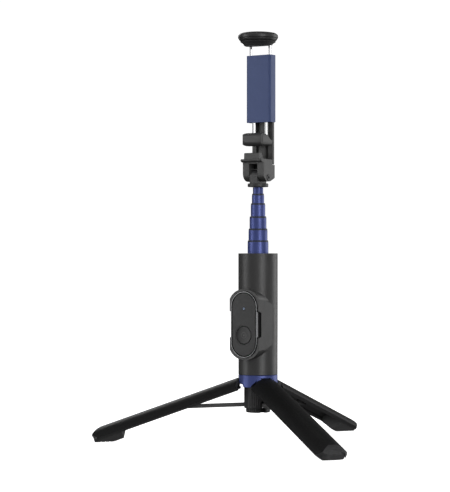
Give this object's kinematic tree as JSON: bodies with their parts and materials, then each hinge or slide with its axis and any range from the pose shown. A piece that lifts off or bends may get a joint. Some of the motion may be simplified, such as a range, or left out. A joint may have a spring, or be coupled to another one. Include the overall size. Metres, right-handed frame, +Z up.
{
  "type": "selfie stick",
  "caption": "Telescopic phone stick standing on its fold-out tripod, with a tilting spring clamp and a small detachable remote on the grip.",
  "frame": {"origin": "on the floor under the centre of the open tripod's footprint box; the pole axis stands 27.8 mm in front of it", "axes": "+Z up along the pole, -Y towards the remote and the phone side of the clamp, +X to the right seen from the front"},
  "size_m": [0.229, 0.1996, 0.3132],
  "materials": {
    "charcoal_plastic": "satin",
    "black_plastic": "satin",
    "grey_plastic": "satin",
    "blue_anodised": "anodised satin",
    "blue_cover": "satin",
    "chrome_rod": "polished",
    "steel": "plain",
    "rubber": "matte",
    "circuit_board": "matte",
    "light_pipe": "gloss"
  },
  "bodies": {
    "grip": {"grip_casing": "charcoal_plastic", "leg_hub": "blue_anodised", "strut_column": "grey_plastic", "column_base_cap": "grey_plastic", "base_screw": "steel", "pole_guide_upper": "black_plastic", "pole_guide_lower": "black_plastic", "leg_hinge_pin_left": "steel", "leg_hinge_pin_right": "steel", "leg_hinge_pin_rear": "steel"},
    "runner": {"strut_runner": "black_plastic"},
    "remote": {"remote_back_shell": "black_plastic", "remote_bezel": "chrome_rod", "remote_face": "grey_plastic", "remote_battery": "steel", "remote_board": "circuit_board", "remote_led": "light_pipe"},
    "remote_button": {"remote_button": "grey_plastic"},
    "pole_head": {"pole_head": "grey_plastic"},
    "clamp": {"clamp_yoke": "charcoal_plastic", "clamp_backplate": "charcoal_plastic", "clamp_cover": "blue_cover", "tilt_screw": "steel", "tilt_nut": "steel", "clamp_spring": "steel"},
    "upper_jaw": {"upper_jaw_cap": "black_plastic", "upper_jaw_pad": "rubber", "upper_bridge": "black_plastic", "upper_rod_left": "chrome_rod", "upper_rod_right": "chrome_rod"},
    "lower_jaw": {"lower_jaw": "grey_plastic", "lower_jaw_pad": "rubber", "lower_bridge": "black_plastic", "lower_rod_left": "chrome_rod", "lower_rod_right": "chrome_rod"},
    "leg_left": {"leg_shell_left": "black_plastic", "leg_foot_left": "rubber", "strut_pin_left": "steel"},
    "strut_left": {"leg_strut_left": "grey_plastic"},
    "leg_right": {"leg_shell_right": "black_plastic", "leg_foot_right": "rubber", "strut_pin_right": "steel"},
    "strut_right": {"leg_strut_right": "grey_plastic"},
    "leg_rear": {"leg_shell_rear": "black_plastic", "leg_foot_rear": "rubber", "strut_pin_rear": "steel"},
    "strut_rear": {"leg_strut_rear": "grey_plastic"},
    "pole_1": {"pole_section_1": "blue_anodised"},
    "pole_2": {"pole_section_2": "blue_anodised", "pole_bush_2": "black_plastic"},
    "pole_3": {"pole_section_3": "blue_anodised", "pole_bush_3": "black_plastic"},
    "pole_4": {"pole_section_4": "blue_anodised", "pole_bush_4": "black_plastic"},
    "pole_5": {"pole_section_5": "blue_anodised", "pole_bush_5": "black_plastic"},
    "pole_6": {"pole_section_6": "blue_anodised", "pole_bush_6": "black_plastic"}
  },
  "joints": [
    {"name": "leg_fold_left", "type": "hinge", "parent": "grip", "child": "leg_left", "pos_m": [-0.01022, -0.03373, 0.0478], "axis": [0.5, -0.866, 0], "range_deg": [0, 70.13]},
    {"name": "leg_fold_right", "type": "hinge", "parent": "grip", "child": "leg_right", "pos_m": [0.01022, -0.03373, 0.0478], "axis": [0.5, 0.866, 0], "range_deg": [0, 70.13]},
    {"name": "leg_fold_rear", "type": "hinge", "parent": "grip", "child": "leg_rear", "pos_m": [0, -0.01603, 0.0478], "axis": [-1, 0, 0], "range_deg": [0, 70.13]},
    {"name": "strut_turn_left", "type": "hinge", "parent": "leg_left", "child": "strut_left", "pos_m": [-0.05196, -0.05783, 0.0273], "axis": [0.5, -0.866, 0], "range_deg": [0, 15.94]},
    {"name": "strut_turn_right", "type": "hinge", "parent": "leg_right", "child": "strut_right", "pos_m": [0.05196, -0.05783, 0.0273], "axis": [0.5, 0.866, 0], "range_deg": [0, 15.94]},
    {"name": "strut_turn_rear", "type": "hinge", "parent": "leg_rear", "child": "strut_rear", "pos_m": [0, 0.03217, 0.0273], "axis": [-1, 0, 0], "range_deg": [0, 15.94]},
    {"name": "runner_slide", "type": "slide", "parent": "grip", "child": "runner", "axis": [0, 0, 1], "range_m": [0, 0.01835]},
    {"name": "pole_slide_1", "type": "slide", "parent": "grip", "child": "pole_1", "axis": [0, 0, 1], "range_m": [-0.0095, 0.0671]},
    {"name": "pole_slide_2", "type": "slide", "parent": "pole_1", "child": "pole_2", "axis": [0, 0, 1], "range_m": [-0.0086, 0.068]},
    {"name": "pole_slide_3", "type": "slide", "parent": "pole_2", "child": "pole_3", "axis": [0, 0, 1], "range_m": [-0.0089, 0.0677]},
    {"name": "pole_slide_4", "type": "slide", "parent": "pole_3", "child": "pole_4", "axis": [0, 0, 1], "range_m": [-0.0096, 0.067]},
    {"name": "pole_slide_5", "type": "slide", "parent": "pole_4", "child": "pole_5", "axis": [0, 0, 1], "range_m": [-0.0069, 0.0697]},
    {"name": "pole_slide_6", "type": "slide", "parent": "pole_5", "child": "pole_6", "axis": [0, 0, 1], "range_m": [-0.0044, 0.0722]},
    {"name": "head_swivel", "type": "hinge", "parent": "pole_6", "child": "pole_head", "pos_m": [0, -0.02783, 0.1954], "axis": [0, 0, 1], "continuous": true},
    {"name": "clamp_tilt", "type": "hinge", "parent": "pole_head", "child": "clamp", "pos_m": [0, -0.02783, 0.2025], "axis": [1, 0, 0], "range_deg": [-25, 45]},
    {"name": "upper_jaw_slide", "type": "slide", "parent": "clamp", "child": "upper_jaw", "axis": [0, 0, 1], "range_m": [-0.006, 0.014], "deforming": ["clamp_spring"]},
    {"name": "lower_jaw_slide", "type": "slide", "parent": "clamp", "child": "lower_jaw", "axis": [0, 0, 1], "range_m": [-0.005, 0.008]},
    {"name": "remote_release", "type": "slide", "parent": "grip", "child": "remote", "axis": [0, -1, 0], "range_m": [0, 0.03]},
    {"name": "button_press", "type": "slide", "parent": "remote", "child": "remote_button", "axis": [0, 1, 0], "range_m": [0, 0.0005], "stiffness_N_per_m": 800}
  ],
  "couplings": [
    {"joint": "leg_fold_right", "follows": "leg_fold_left", "ratio": 1},
    {"joint": "leg_fold_rear", "follows": "leg_fold_left", "ratio": 1},
    {"joint": "strut_turn_left", "follows": "leg_fold_left", "ratio": 0.22718},
    {"joint": "strut_turn_right", "follows": "leg_fold_left", "ratio": 0.22718},
    {"joint": "strut_turn_rear", "follows": "leg_fold_left", "ratio": 0.22718},
    {"joint": "runner_slide", "follows": "leg_fold_left", "m_per_rad": 0.01498}
  ]
}
